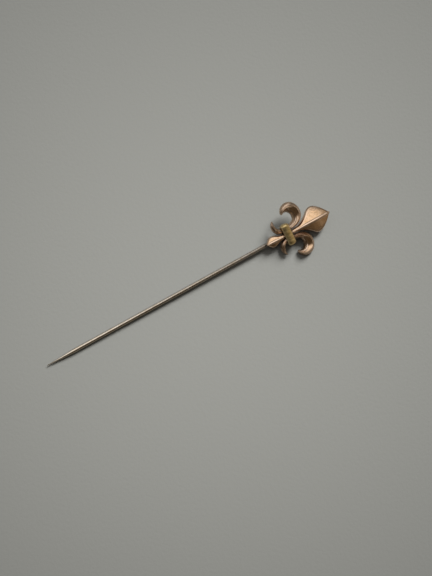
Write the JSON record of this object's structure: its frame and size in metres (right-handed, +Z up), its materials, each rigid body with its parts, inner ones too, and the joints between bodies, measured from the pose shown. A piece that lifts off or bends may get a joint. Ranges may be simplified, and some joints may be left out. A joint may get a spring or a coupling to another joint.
{
  "type": "fleur-de-lis stick pin",
  "caption": "Gold stick pin: a straight round wire with a sharp point and, at its head, a ridged fleur-de-lis held at the waist by a half-round collar of paler gold",
  "frame": {"origin": "centre of the bounding box's underside, on the surface that the pin lies on", "axes": "+Z up from the surface; +X along the pin from its point to the top of the flower; +Y to the flower's left"},
  "size_m": [0.056, 0.01, 0.0032],
  "materials": {
    "rose_gold": "polished rose gold with softened edges and fine wear",
    "yellow_gold": "paler, greener yellow gold, softly polished",
    "stem_gold": "drawn gold wire, polished lengthwise"
  },
  "bodies": {
    "root": {"centre_leaf": "rose_gold", "left_scroll": "rose_gold", "right_scroll": "rose_gold", "collar": "yellow_gold", "pin_stem": "stem_gold"}
  },
  "joints": []
}
